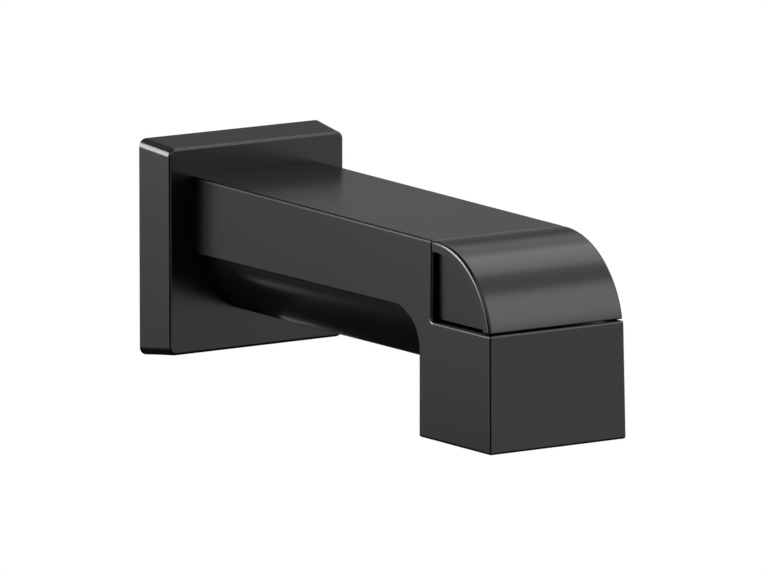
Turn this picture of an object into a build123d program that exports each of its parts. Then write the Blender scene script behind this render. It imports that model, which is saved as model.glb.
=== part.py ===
from build123d import *
import math
import os

# Wall-mounted bath spout with a pull-up diverter knob, in millimetres.
# The origin is the centre of the wall face, on the axis of the supply pipe. +Z is up and the spout
# reaches out from the wall along -Y. Every "reach" below is a distance from the wall.

# wall plate
plate_size = 66.7
plate_depth = 14.3
plate_taper = 1.6
plate_corner = 2.5
plate_edge = 0.9
plate_rim = 1.8
plate_side = 3.3
plate_web = 3.0
gasket_depth = 3.0
gasket_width = 5.0

# spout body: a square-shouldered beam on a round barrel, with a drop-down outlet block
width_crown = 47.6
width_mouth = 49.0
beam_top_wall = 22.9
beam_top_seam = 21.2
beam_floor = -0.9
barrel_radius = 20.5
seam_reach = 143.0
block_rear = 136.7
block_front = 173.8
block_rear_lean = 0.6
block_front_lean = 0.8
mouth_height = -38.4
hollow_radius = 12.5
body_edge = 0.8
wall = 2.2

# notch for the knob: a thin rim round a sunk deck
deck_rim = -3.0
deck_floor = -3.8
deck_under = -5.2
rim_width = 1.0
rim_rebate = 1.2
notch_corner = 1.2

# diverter knob
knob_rear_gap = 0.4
knob_foot_gap = 0.4
knob_setback = 0.3
foot_edge = 0.45
cheek_foot = -2.3
crown_radius = 29.3
lip = 3.2
lip_edge = 1.0
cheek_half = 21.6
cheek_wall = 1.8
crown_wall = 2.2
knob_rear_wall = 1.8
knob_rib = 1.8
knob_rib_height = 9.0
boss_radius = 4.5
boss_foot = 2.05
boss_hole_depth = 12.6

# lift rod and its guide
rod_reach = 157.0
rod_radius = 2.0
rod_foot = -31.0
rod_length = 45.5
thread_clearance = 0.02
running_clearance = 0.05
guide_radius = 4.2
guide_flange_radius = 6.5
guide_flange = 1.2
guide_foot = -7.5
guide_nut_flats = 11.0
guide_nut_height = 2.0
washer_radius = 5.5
washer_bore = 2.4
washer_height = 2.0
lock_nut_flats = 7.0
lock_nut_height = 2.6
rod_seal_section = 0.58
rod_seal_groove = 3.3
rod_seal_height = -5.6

# gate and valve housing
port_height = -12.0
port_radius = 4.8
lift = 12.0
housing_rear = 139.7
seat_reach = 145.0
seat_wall = 2.5
housing_half = 13.0
housing_top = -5.3
socket_foot = -20.0
rail_inside = 7.9
rail_wall = 2.0
rail_lip = 1.5
gate_slot = 4.5
gate_half_width = 7.5
gate_half_height = 5.6
gate_rear = 147.0
gate_front = 149.2
seal_rear = 145.4
seal_margin = 0.9
seal_corner = 2.0
seal_plug_radius = 2.5
gate_arm = 3.0
hub_radius = 4.0
hub_top = -20.3
hub_foot = -29.4
clip_radius = 3.8
clip_thickness = 0.7
clip_groove = 1.5
clip_mouth = 2.4

# outlet frame at the mouth
frame_top = -33.7
frame_thickness = 2.5
frame_clearance = 0.2
outlet_reach = 158.0
outlet_size = 20.0
outlet_collar = 1.5
collar_wall = 1.8
straightener_size = 22.0
straightener_height = 1.5
cell_pitch = 2.9
cell_size = 2.3
cells = 7
outlet_screw_x = 18.6
outlet_screw_reaches = (142.2, 169.4)
outlet_boss_radius = 3.2
outlet_boss_height = 12.0
outlet_screw_radius = 1.25
outlet_screw_head = 2.4
outlet_screw_length = 8.0

# slip-fit adapter for a 5/8 in copper tube
tube_bore = 8.05
bore_depth = 44.0
adapter_radius = 11.4
flange_radius = 12.8
flange_depth = 3.0
spigot_radius = 9.0
spigot_bore = 6.3
spigot_length = 9.0
pipe_seal_reaches = (33.5, 39.0)
pipe_seal_section = 1.05
pipe_seal_groove = 9.9
spigot_seal_reach = 48.5
spigot_seal_groove = 7.3
spigot_seal_section = 0.88
groove_width = 2.6
set_screw_reach = 26.0
set_screw_radius = 2.5
set_screw_length = 6.0
set_screw_hex = 2.5
key_hole_radius = 3.2

# bulkhead and plate screws
bulkhead = 3.5
adapter_clearance = 0.1
screw_boss_radius = 3.5
screw_boss_end = 30.0
plate_screw_points = ((-18.6, 17.4), (18.6, 17.4), (-11.75, -11.75), (11.75, -11.75))
plate_screw_radius = 1.9
plate_screw_end = 27.0
plate_screw_head = 3.6
plate_screw_head_depth = 2.4
plate_hole_radius = 2.2
cross_slot = 0.9
cross_depth = 1.2

# waterway tube
tube_radius = 6.0
tube_inside = 4.8
socket_wall = 2.3
socket_clearance = 0.1
socket_start = 44.3
socket_end = 57.0
bend_start = 70.0
bend_end = 122.0
tube_end = 142.9
bend_radius = 34.0
seat_gasket = 1.2

# worked out from the driving dimensions
plate_draft = math.degrees(math.atan(plate_taper / plate_depth))
gasket_size = plate_size - 2 * plate_rim - 2 * plate_taper
gasket_window = gasket_size - 2 * gasket_width
beam_slope = (beam_top_wall - beam_top_seam) / (seam_reach - plate_depth)
cavity_half = width_crown / 2 - wall
cavity_end = seam_reach - rim_rebate - 1.8
bulkhead_start = plate_depth + flange_depth
bulkhead_end = bulkhead_start + bulkhead
knob_rear = seam_reach + knob_rear_gap
knob_foot = deck_rim + knob_foot_gap
crown_height = beam_top_seam - crown_radius
knob_front = block_front - knob_setback
crown_reach = knob_front - math.sqrt(crown_radius**2 - (knob_foot - crown_height) ** 2)
frame_foot = frame_top - frame_thickness
frame_rear = block_rear + block_rear_lean + wall + frame_clearance
frame_front = block_front + block_front_lean - wall - 2 * frame_clearance
gate_height = port_height - lift
solid_height = 30.0

# the side view: x is the distance from the wall, y is the height
side_view = Plane(origin=(0, 0, 0), x_dir=(0, -1, 0), z_dir=(-1, 0, 0))
rod_axis = Axis((0, -rod_reach, 0), (0, 0, 1))


def section(reach):
    """The upright plane at a distance from the wall, facing out into the room."""
    return Plane.XZ.offset(reach)


def level(height):
    """The level plane at a height, with x to the right and y towards the wall."""
    return Plane.XY.offset(height)


def beam_top(reach):
    """Height of the beam's sloping top at a distance from the wall."""
    return beam_top_wall - beam_slope * (reach - plate_depth)


def seal_ring(reach, height, section_radius, axis):
    """An O-ring: a round section turned about its axis."""
    with BuildPart() as ring:
        with BuildSketch(side_view):
            with Locations((reach, height)):
                Circle(section_radius)
        revolve(axis=axis)
    return ring


def rod_clip(foot):
    """An open retaining clip that snaps into a groove of the lift rod."""
    with BuildPart() as clip:
        with BuildSketch(level(foot)):
            with Locations((0, -rod_reach)):
                Circle(clip_radius)
                Circle(clip_groove + thread_clearance, mode=Mode.SUBTRACT)
            with Locations((0, -rod_reach - clip_radius)):
                Rectangle(clip_mouth, 2 * clip_radius, mode=Mode.SUBTRACT)
        extrude(amount=clip_thickness)
    return clip


def outlet_screw_points(height):
    """The four screws of the outlet frame, seen from below."""
    return [
        Location((side * outlet_screw_x, -reach, height), (180, 0, 0))
        for side in (-1, 1)
        for reach in outlet_screw_reaches
    ]


# wedge that gives the casting's sides and the knob's sides one draft
with BuildPart() as draft_wedge:
    with BuildSketch(section(0)):
        with BuildLine():
            Polyline(
                (-width_crown / 2, beam_top_wall),
                (-width_mouth / 2, mouth_height),
                (width_mouth / 2, mouth_height),
                (width_crown / 2, beam_top_wall),
                close=True,
            )
        make_face()
    extrude(amount=block_front + block_front_lean)

# square cup with tapered sides; its web carries the spout body
with BuildPart() as wall_plate:
    with BuildSketch(section(0)):
        Rectangle(plate_size, plate_size)
    extrude(amount=plate_depth, taper=plate_draft)
    fillet(wall_plate.edges().filter_by(lambda edge: -plate_depth < edge.center().Y < 0), plate_corner)
    fillet(wall_plate.faces().sort_by(Axis.Y)[0].edges(), plate_edge)
    with BuildSketch(section(0)):
        RectangleRounded(plate_size - 2 * plate_rim, plate_size - 2 * plate_rim, plate_corner)
    extrude(amount=gasket_depth, taper=plate_draft, mode=Mode.SUBTRACT)
    with BuildSketch(section(gasket_depth)):
        RectangleRounded(plate_size - 2 * plate_side, plate_size - 2 * plate_side, plate_corner)
    extrude(amount=plate_depth - plate_web - gasket_depth, taper=plate_draft, mode=Mode.SUBTRACT)
    with BuildSketch(section(0)):
        Circle(adapter_radius + adapter_clearance)
        with Locations(*plate_screw_points):
            Circle(plate_hole_radius)
    extrude(amount=plate_depth, mode=Mode.SUBTRACT)

# foam frame inside the rim of the wall plate
with BuildPart() as wall_gasket:
    with BuildSketch(section(0)):
        RectangleRounded(gasket_size, gasket_size, plate_corner)
        RectangleRounded(gasket_window, gasket_window, plate_corner, mode=Mode.SUBTRACT)
    extrude(amount=gasket_depth)

# die-cast body
with BuildPart() as spout_body:
    with BuildSketch(side_view):
        with BuildLine():
            Polyline((plate_depth, beam_floor), (plate_depth, beam_top_wall), (seam_reach, beam_top_seam))
            FilletPolyline(
                (seam_reach, beam_top_seam),
                (seam_reach, deck_rim),
                (block_front, deck_rim),
                radius=notch_corner,
            )
            Polyline(
                (block_front, deck_rim),
                (block_front + block_front_lean, mouth_height),
                (block_rear + block_rear_lean, mouth_height),
            )
            FilletPolyline(
                (block_rear + block_rear_lean, mouth_height),
                (block_rear, beam_floor),
                (plate_depth, beam_floor),
                radius=hollow_radius,
            )
        make_face()
    extrude(amount=width_mouth / 2, both=True)
    add(draft_wedge.part, mode=Mode.INTERSECT)
    fillet(spout_body.edges().filter_by(lambda edge: edge.center().Y < -plate_depth - wall), body_edge)
    with BuildSketch(section(plate_depth)):
        Circle(barrel_radius)
    extrude(amount=block_rear + wall - plate_depth)
    # cavity in front of the bulkhead and cavity behind it
    for start, end in ((plate_depth, bulkhead_start), (bulkhead_end, cavity_end)):
        with BuildSketch(side_view):
            with BuildLine():
                Polyline(
                    (start, beam_floor + wall),
                    (start, beam_top(start) - wall),
                    (end, beam_top(end) - wall),
                    (end, beam_floor + wall),
                    close=True,
                )
            make_face()
        extrude(amount=cavity_half, both=True, mode=Mode.SUBTRACT)
        with BuildSketch(section(start)):
            Circle(barrel_radius - wall)
        extrude(amount=end - start, mode=Mode.SUBTRACT)
    # outlet chamber, open at the mouth
    with BuildSketch(side_view):
        with BuildLine():
            Polyline(
                (block_rear + wall, deck_under),
                (block_front - wall, deck_under),
                (block_front + block_front_lean - wall, mouth_height),
                (block_rear + block_rear_lean + wall, mouth_height),
                close=True,
            )
        make_face()
    extrude(amount=cavity_half, both=True, mode=Mode.SUBTRACT)
    # sunk deck and rebated rear wall inside the rim of the notch
    with BuildSketch(side_view):
        with BuildLine():
            Polyline(
                (seam_reach - rim_rebate, deck_floor),
                (block_front - rim_width, deck_floor),
                (block_front - rim_width, beam_top_seam - rim_width),
                (seam_reach - rim_rebate, beam_top_seam - rim_width),
                close=True,
            )
        make_face()
    extrude(amount=width_crown / 2 - rim_width, both=True, mode=Mode.SUBTRACT)
    # bosses for the plate screws, and the bulkhead's hole for the adapter
    with BuildSketch(section(plate_depth)):
        with Locations(*plate_screw_points):
            Circle(screw_boss_radius)
    extrude(amount=screw_boss_end - plate_depth)
    with BuildSketch(section(plate_depth)):
        with Locations(*plate_screw_points):
            Circle(plate_screw_radius)
    extrude(amount=plate_screw_end - plate_depth, mode=Mode.SUBTRACT)
    with BuildSketch(section(bulkhead_start)):
        Circle(adapter_radius + adapter_clearance)
    extrude(amount=bulkhead, mode=Mode.SUBTRACT)
    # ribs that hold the valve housing against the rear wall
    with BuildSketch(level(frame_top)):
        for side in (-1, 1):
            with Locations((side * (housing_half + cavity_half) / 2, -seat_reach - wall / 2 - frame_clearance)):
                Rectangle(cavity_half - housing_half + wall, wall)
    extrude(amount=deck_under - frame_top)
    # bosses for the outlet screws
    with BuildSketch(level(frame_top)):
        with Locations(*[(side * outlet_screw_x, -reach) for side in (-1, 1) for reach in outlet_screw_reaches]):
            Circle(outlet_boss_radius)
    extrude(amount=outlet_boss_height)
    with BuildSketch(level(frame_top)):
        with Locations(*[(side * outlet_screw_x, -reach) for side in (-1, 1) for reach in outlet_screw_reaches]):
            Circle(outlet_screw_radius)
    extrude(amount=outlet_boss_height - wall, mode=Mode.SUBTRACT)
    # hole for the rod guide, and the key hole under the barrel
    with BuildSketch(level(deck_under)):
        with Locations((0, -rod_reach)):
            Circle(guide_radius)
    extrude(amount=deck_floor - deck_under, mode=Mode.SUBTRACT)
    with BuildSketch(level(-barrel_radius)):
        with Locations((0, -set_screw_reach)):
            Circle(key_hole_radius)
    extrude(amount=2 * wall, mode=Mode.SUBTRACT)

# screws from the web of the wall plate into the body
with BuildPart() as plate_screws:
    head_start = plate_depth - plate_web - plate_screw_head_depth
    with BuildSketch(section(head_start)):
        with Locations(*plate_screw_points):
            Circle(plate_screw_head)
    extrude(amount=plate_screw_head_depth)
    with BuildSketch(section(head_start + plate_screw_head_depth)):
        with Locations(*plate_screw_points):
            Circle(plate_screw_radius)
    extrude(amount=plate_screw_end - head_start - plate_screw_head_depth)
    with BuildSketch(section(head_start)):
        with Locations(*plate_screw_points):
            Rectangle(plate_screw_head, cross_slot)
            Rectangle(cross_slot, plate_screw_head)
    extrude(amount=cross_depth, mode=Mode.SUBTRACT)

# brass adapter that slips over the tube
with BuildPart() as inlet_adapter:
    with BuildSketch(side_view):
        with BuildLine():
            Polyline(
                (0, tube_bore),
                (0, adapter_radius),
                (plate_depth, adapter_radius),
                (plate_depth, flange_radius),
                (bulkhead_start, flange_radius),
                (bulkhead_start, adapter_radius),
                (bore_depth, adapter_radius),
                (bore_depth, spigot_radius),
                (bore_depth + spigot_length, spigot_radius),
                (bore_depth + spigot_length, spigot_bore),
                (bore_depth, spigot_bore),
                (bore_depth, tube_bore),
                close=True,
            )
        make_face()
        with Locations(*[(reach, pipe_seal_groove / 2) for reach in pipe_seal_reaches]):
            Rectangle(groove_width, pipe_seal_groove, mode=Mode.SUBTRACT)
        with Locations((spigot_seal_reach, spigot_seal_groove + spigot_radius / 2)):
            Rectangle(groove_width, spigot_radius, mode=Mode.SUBTRACT)
    revolve(axis=Axis.Y)
    with BuildSketch(level(0)):
        with Locations((0, -set_screw_reach)):
            Circle(set_screw_radius)
    extrude(amount=-flange_radius, mode=Mode.SUBTRACT)

pipe_rings = [
    seal_ring(reach, pipe_seal_groove - pipe_seal_section, pipe_seal_section, Axis.Y)
    for reach in pipe_seal_reaches
]
adapter_o_ring = seal_ring(
    spigot_seal_reach, spigot_seal_groove + spigot_seal_section, spigot_seal_section, Axis.Y
)

# socket set screw that grips the tube from below
with BuildPart() as pipe_set_screw:
    with BuildSketch(level(-tube_bore - running_clearance)):
        with Locations((0, -set_screw_reach)):
            Circle(set_screw_radius)
    extrude(amount=-set_screw_length)
    with BuildSketch(level(-tube_bore - running_clearance - set_screw_length)):
        with Locations((0, -set_screw_reach)):
            RegularPolygon(set_screw_hex / 2, 6, major_radius=False)
    extrude(amount=set_screw_hex, mode=Mode.SUBTRACT)

# moulded tube that carries the water from the adapter down to the port
with BuildPart() as waterway_tube:
    socket_bore = spigot_radius + socket_clearance
    with BuildSketch(side_view):
        with BuildLine():
            Polyline(
                (socket_start, socket_bore),
                (socket_start, socket_bore + socket_wall),
                (bore_depth + spigot_length, socket_bore + socket_wall),
                (socket_end, tube_radius),
                (socket_end, tube_inside),
                (bore_depth + spigot_length + socket_clearance, spigot_bore),
                (bore_depth + spigot_length + socket_clearance, socket_bore),
                close=True,
            )
        make_face()
    revolve(axis=Axis.Y)
    with BuildLine(side_view) as route:
        FilletPolyline(
            (socket_end, 0),
            (bend_start, 0),
            (bend_end, port_height),
            (tube_end, port_height),
            radius=bend_radius,
        )
    with BuildSketch(section(socket_end)):
        Circle(tube_radius)
        Circle(tube_inside, mode=Mode.SUBTRACT)
    sweep(path=route.wires()[0])

# flat ring between the tube's end and the housing
with BuildPart() as seat_ring:
    with BuildSketch(section(tube_end)):
        with Locations((0, port_height)):
            Circle(tube_radius)
            Circle(port_radius, mode=Mode.SUBTRACT)
    extrude(amount=seat_gasket)

# moulded housing with the port, the seat and two rails for the gate
with BuildPart() as valve_housing:
    with BuildSketch(side_view):
        with BuildLine():
            Polyline(
                (housing_rear, housing_top),
                (seat_reach, housing_top),
                (seat_reach, frame_top),
                (seat_reach - seat_wall, frame_top),
                (seat_reach - seat_wall, socket_foot),
                (housing_rear, socket_foot),
                close=True,
            )
        make_face()
    extrude(amount=housing_half, both=True)
    with BuildSketch(section(housing_rear)):
        with Locations((0, port_height)):
            Circle(tube_radius + socket_clearance)
    extrude(amount=tube_end + seat_gasket - housing_rear, mode=Mode.SUBTRACT)
    with BuildSketch(section(housing_rear)):
        with Locations((0, port_height)):
            Circle(port_radius)
    extrude(amount=seat_reach - housing_rear, mode=Mode.SUBTRACT)
    with BuildSketch(level(frame_top)):
        for side in (-1, 1):
            with Locations((side * (rail_inside + rail_wall / 2), -seat_reach - (gate_slot + rail_lip) / 2)):
                Rectangle(rail_wall, gate_slot + rail_lip)
            with Locations((side * (rail_inside + (rail_wall - rail_lip) / 2), -seat_reach - gate_slot - rail_lip / 2)):
                Rectangle(rail_wall + rail_lip, rail_lip)
    extrude(amount=housing_top - frame_top)

# frame that closes the mouth round the outlet
with BuildPart() as outlet_frame:
    with BuildSketch(level(frame_foot)):
        with Locations((0, -(frame_rear + frame_front) / 2)):
            RectangleRounded(2 * (cavity_half - frame_clearance), frame_front - frame_rear, rim_width)
    extrude(amount=frame_thickness)
    with BuildSketch(level(frame_foot - outlet_collar)):
        with Locations((0, -outlet_reach)):
            RectangleRounded(outlet_size + 2 * collar_wall, outlet_size + 2 * collar_wall, collar_wall)
    extrude(amount=outlet_collar)
    with BuildSketch(level(frame_foot - outlet_collar)):
        with Locations((0, -outlet_reach)):
            Rectangle(outlet_size, outlet_size)
    extrude(amount=outlet_collar + frame_thickness, mode=Mode.SUBTRACT)
    with BuildSketch(level(frame_top)):
        with Locations((0, -outlet_reach)):
            Rectangle(straightener_size, straightener_size)
    extrude(amount=-straightener_height, mode=Mode.SUBTRACT)
    with Locations(*outlet_screw_points(frame_foot)):
        CounterSinkHole(outlet_screw_radius + socket_clearance, outlet_screw_head, frame_thickness, 90)

# grid that straightens the stream
with BuildPart() as flow_straightener:
    with BuildSketch(level(frame_top - straightener_height)):
        with Locations((0, -outlet_reach)):
            Rectangle(straightener_size - frame_clearance, straightener_size - frame_clearance)
            with GridLocations(cell_pitch, cell_pitch, cells, cells):
                Rectangle(cell_size, cell_size, mode=Mode.SUBTRACT)
    extrude(amount=straightener_height)

# countersunk screws that hold the outlet frame
with BuildPart() as outlet_screws:
    head_depth = outlet_screw_head - outlet_screw_radius
    for side in (-1, 1):
        for reach in outlet_screw_reaches:
            with BuildSketch(Plane((0, -reach, 0), x_dir=(1, 0, 0), z_dir=(0, -1, 0))):
                with BuildLine():
                    Polyline(
                        (side * outlet_screw_x, frame_foot),
                        (side * (outlet_screw_x + outlet_screw_head), frame_foot),
                        (side * (outlet_screw_x + outlet_screw_radius), frame_foot + head_depth),
                        (side * (outlet_screw_x + outlet_screw_radius), frame_foot + outlet_screw_length),
                        (side * outlet_screw_x, frame_foot + outlet_screw_length),
                        close=True,
                    )
                make_face()
            revolve(axis=Axis((side * outlet_screw_x, -reach, 0), (0, 0, 1)))
    with BuildSketch(level(frame_foot)):
        with Locations(*[(side * outlet_screw_x, -reach) for side in (-1, 1) for reach in outlet_screw_reaches]):
            Rectangle(outlet_screw_head, cross_slot)
            Rectangle(cross_slot, outlet_screw_head)
    extrude(amount=cross_depth / 2, mode=Mode.SUBTRACT)

# quarter-round knob: a full-width lip over recessed cheeks, hollow beneath
with BuildPart() as diverter_knob:
    with BuildSketch(side_view):
        with Locations((crown_reach, crown_height)):
            Circle(crown_radius)
        with BuildLine():
            Polyline(
                (knob_rear, knob_foot),
                (knob_front, knob_foot),
                (knob_front, beam_top_seam),
                (crown_reach, beam_top_seam),
                (knob_rear, beam_top(knob_rear)),
                close=True,
            )
        make_face(mode=Mode.INTERSECT)
    extrude(amount=width_mouth / 2, both=True)
    add(draft_wedge.part, mode=Mode.INTERSECT)
    crown_edges = diverter_knob.edges().filter_by(lambda edge: edge.geom_type != GeomType.LINE)
    fillet(crown_edges, lip_edge)
    foot_edges = diverter_knob.faces().sort_by(Axis.Z)[0].edges()
    fillet(foot_edges.filter_by(lambda edge: edge.center().Y < -knob_rear - foot_edge), foot_edge)
    with BuildSketch(side_view):
        with Locations((crown_reach, crown_height)):
            Circle(crown_radius - lip)
        with Locations((knob_rear - wall, cheek_foot)):
            Rectangle(solid_height + wall, wall, align=(Align.MIN, Align.MAX), mode=Mode.INTERSECT)
    extrude(amount=cheek_half, both=True, mode=Mode.SUBTRACT)
    for side in (-1, 1):
        with BuildSketch(side_view.offset(side * cheek_half)):
            with Locations((crown_reach, crown_height)):
                Circle(crown_radius - lip)
            with Locations((knob_rear - wall, knob_foot - wall)):
                Rectangle(solid_height + wall, solid_height, align=Align.MIN, mode=Mode.INTERSECT)
        extrude(amount=side * (width_mouth / 2 - cheek_half), mode=Mode.SUBTRACT)
    with BuildSketch(side_view):
        with Locations((crown_reach, crown_height)):
            Circle(crown_radius - crown_wall)
        with Locations((knob_rear + knob_rear_wall, knob_foot)):
            Rectangle(solid_height, solid_height, align=Align.MIN, mode=Mode.INTERSECT)
    extrude(amount=cheek_half - cheek_wall, both=True, mode=Mode.SUBTRACT)
    with BuildSketch(side_view):
        with Locations((crown_reach, crown_height)):
            Circle(crown_radius - crown_wall / 2)
        with Locations((knob_rear + knob_rear_wall / 2, knob_rib_height)):
            Rectangle(solid_height, solid_height, align=Align.MIN, mode=Mode.INTERSECT)
    extrude(amount=knob_rib / 2, both=True)
    with BuildSketch(level(boss_foot)):
        with Locations((0, -rod_reach)):
            Circle(boss_radius)
    extrude(until=Until.NEXT)
    with BuildSketch(level(boss_foot)):
        with Locations((0, -rod_reach)):
            Circle(rod_radius + thread_clearance)
    extrude(amount=boss_hole_depth, mode=Mode.SUBTRACT)

# steel rod from the knob down to the gate
with BuildPart() as lift_rod:
    with BuildSketch(level(rod_foot)):
        with Locations((0, -rod_reach)):
            Circle(rod_radius)
    extrude(amount=rod_length)
    chamfer(lift_rod.edges().group_by(Axis.Z)[0] + lift_rod.edges().group_by(Axis.Z)[-1], rod_radius / 5)
    for foot in (hub_top, hub_foot - clip_thickness):
        with BuildSketch(level(foot)):
            with Locations((0, -rod_reach)):
                Circle(rod_radius)
                Circle(clip_groove, mode=Mode.SUBTRACT)
        extrude(amount=clip_thickness, mode=Mode.SUBTRACT)

# flanged brass guide in the deck
with BuildPart() as rod_guide:
    with BuildSketch(level(guide_foot)):
        with Locations((0, -rod_reach)):
            Circle(guide_radius)
    extrude(amount=deck_floor - guide_foot)
    with BuildSketch(level(deck_floor)):
        with Locations((0, -rod_reach)):
            Circle(guide_flange_radius)
    extrude(amount=guide_flange)
    with BuildSketch(level(guide_foot)):
        with Locations((0, -rod_reach)):
            Circle(rod_radius + running_clearance)
    extrude(amount=deck_floor + guide_flange - guide_foot, mode=Mode.SUBTRACT)
    with BuildSketch(level(rod_seal_height - 2 * rod_seal_section)):
        with Locations((0, -rod_reach)):
            Circle(rod_seal_groove)
    extrude(amount=3 * rod_seal_section, mode=Mode.SUBTRACT)

rod_o_ring = seal_ring(
    rod_reach + rod_seal_groove - rod_seal_section,
    rod_seal_height - rod_seal_section / 2,
    rod_seal_section,
    rod_axis,
)

# thin nut that clamps the guide under the deck
with BuildPart() as guide_nut:
    with BuildSketch(level(deck_under)):
        with Locations((0, -rod_reach)):
            RegularPolygon(guide_nut_flats / 2, 6, major_radius=False, rotation=30)
            Circle(guide_radius, mode=Mode.SUBTRACT)
    extrude(amount=-guide_nut_height)

# rubber washer that the knob comes down on
with BuildPart() as stop_washer:
    with BuildSketch(level(deck_floor + guide_flange)):
        with Locations((0, -rod_reach)):
            Circle(washer_radius)
            Circle(washer_bore, mode=Mode.SUBTRACT)
    extrude(amount=washer_height)

# nut that locks the rod against the knob's boss
with BuildPart() as lock_nut:
    with BuildSketch(level(boss_foot)):
        with Locations((0, -rod_reach)):
            RegularPolygon(lock_nut_flats / 2, 6, major_radius=False)
            Circle(rod_radius + thread_clearance, mode=Mode.SUBTRACT)
    extrude(amount=-lock_nut_height)

# gate: a plate that slides in front of the seat, joined by an arm to a hub on the rod
with BuildPart() as diverter_gate:
    with BuildSketch(section(gate_rear)):
        with Locations((0, gate_height)):
            RectangleRounded(2 * gate_half_width, 2 * gate_half_height, rail_lip)
            Circle(seal_plug_radius, mode=Mode.SUBTRACT)
    extrude(amount=gate_front - gate_rear)
    with BuildSketch(level(hub_foot)):
        with Locations((0, -rod_reach)):
            Circle(hub_radius)
    extrude(amount=hub_top - hub_foot)
    with BuildSketch(level(hub_foot)):
        with Locations((0, -(gate_front + rod_reach) / 2)):
            Rectangle(gate_arm, rod_reach - gate_front)
    extrude(amount=hub_top - hub_foot)
    with BuildSketch(level(hub_foot)):
        with Locations((0, -rod_reach)):
            Circle(rod_radius + thread_clearance)
    extrude(amount=hub_top - hub_foot, mode=Mode.SUBTRACT)

# rubber face of the gate, with a plug through the plate
with BuildPart() as gate_seal:
    with BuildSketch(section(seal_rear)):
        with Locations((0, gate_height)):
            RectangleRounded(
                2 * (gate_half_width - seal_margin), 2 * (gate_half_height - seal_margin / 4), seal_corner
            )
    extrude(amount=gate_rear - seal_rear)
    with BuildSketch(section(gate_rear)):
        with Locations((0, gate_height)):
            Circle(seal_plug_radius)
    extrude(amount=(gate_front - gate_rear) / 2)

upper_clip = rod_clip(hub_top)
lower_clip = rod_clip(hub_foot - clip_thickness)

pieces = {
    "wall_plate": wall_plate,
    "wall_gasket": wall_gasket,
    "spout_body": spout_body,
    "plate_screws": plate_screws,
    "inlet_adapter": inlet_adapter,
    "pipe_o_ring_rear": pipe_rings[0],
    "pipe_o_ring_front": pipe_rings[1],
    "adapter_o_ring": adapter_o_ring,
    "pipe_set_screw": pipe_set_screw,
    "waterway_tube": waterway_tube,
    "seat_gasket": seat_ring,
    "valve_housing": valve_housing,
    "outlet_frame": outlet_frame,
    "flow_straightener": flow_straightener,
    "outlet_screws": outlet_screws,
    "rod_guide": rod_guide,
    "rod_o_ring": rod_o_ring,
    "guide_nut": guide_nut,
    "stop_washer": stop_washer,
    "diverter_knob": diverter_knob,
    "lift_rod": lift_rod,
    "lock_nut": lock_nut,
    "diverter_gate": diverter_gate,
    "gate_seal": gate_seal,
    "upper_clip": upper_clip,
    "lower_clip": lower_clip,
}

os.makedirs("parts", exist_ok=True)
for name, piece in pieces.items():
    piece.part.label = name
    export_step(piece.part, f"parts/{name}.step")
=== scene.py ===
"""Dresses a matte black bath spout with a pull-up diverter knob, and lights it in a plain studio."""

from __future__ import annotations

import logging
import math
from dataclasses import dataclass, field
from enum import Enum
from typing import Any, Callable, Iterable, Sequence

import bmesh
import bpy
from mathutils import Matrix, Vector

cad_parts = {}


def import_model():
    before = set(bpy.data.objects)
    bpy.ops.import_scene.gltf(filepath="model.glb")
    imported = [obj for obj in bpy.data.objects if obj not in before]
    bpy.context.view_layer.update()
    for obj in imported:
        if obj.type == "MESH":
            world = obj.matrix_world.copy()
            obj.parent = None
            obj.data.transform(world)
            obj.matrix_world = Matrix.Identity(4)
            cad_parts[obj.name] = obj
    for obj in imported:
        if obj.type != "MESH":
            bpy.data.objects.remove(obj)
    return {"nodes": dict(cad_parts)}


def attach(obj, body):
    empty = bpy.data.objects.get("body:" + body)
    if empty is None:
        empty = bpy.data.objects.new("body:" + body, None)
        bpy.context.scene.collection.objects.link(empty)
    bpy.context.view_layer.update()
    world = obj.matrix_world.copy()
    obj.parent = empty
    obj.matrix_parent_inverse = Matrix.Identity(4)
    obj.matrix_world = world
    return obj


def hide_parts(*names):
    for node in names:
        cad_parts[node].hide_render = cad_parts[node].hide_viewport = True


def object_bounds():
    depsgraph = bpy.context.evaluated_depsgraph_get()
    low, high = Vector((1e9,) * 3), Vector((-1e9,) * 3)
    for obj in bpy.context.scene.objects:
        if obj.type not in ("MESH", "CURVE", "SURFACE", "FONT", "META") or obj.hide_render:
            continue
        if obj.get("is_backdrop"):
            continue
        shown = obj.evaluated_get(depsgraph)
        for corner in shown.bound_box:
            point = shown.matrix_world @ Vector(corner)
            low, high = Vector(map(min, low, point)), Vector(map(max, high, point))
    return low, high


LOG = logging.getLogger("bath_spout")
MM = 0.001

Point = tuple[float, float, float]
Colour = tuple[float, float, float, float]
Inputs = dict[str | int, Any]

WHITE: Colour = (1.0, 1.0, 1.0, 1.0)
ROD_CENTRE: Point = (0.0, -157.0, 0.0)  # a point on the lift rod's axis, in millimetres
RING_DRIFT = 0.0004  # how far the rings of turned metal shift along one radian, in metres
FOAM_SWING = 0.1  # change of the foam's roughness from a hollow to a wall
SHARP_ANGLE = math.radians(32)
TURN_SPREAD = 1.5  # the screws are turned by 0 to this, in radians
TURN_SEED = 7


class Body(Enum):
    """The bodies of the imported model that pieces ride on."""

    SPOUT = "spout"
    DIVERTER = "diverter"


class Slot(Enum):
    """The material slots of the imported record."""

    BLACK = "black_finish"
    FOAM = "foam_gasket"
    STEEL = "stainless_steel"
    BRASS = "bare_brass"
    RUBBER = "seal_rubber"
    WHITE = "white_moulding"
    GREY = "grey_moulding"
    DARK = "black_moulding"


class Turning(Enum):
    """Which axis of the spout a turned piece was turned about."""

    PIPE = (math.pi / 2, 0.0, 0.0)
    ROD = (0.0, 0.0, 0.0)


class HeadStyle(Enum):
    """The two shapes of screw head on the spout."""

    PAN = "pan"
    COUNTERSUNK = "countersunk"


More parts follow.
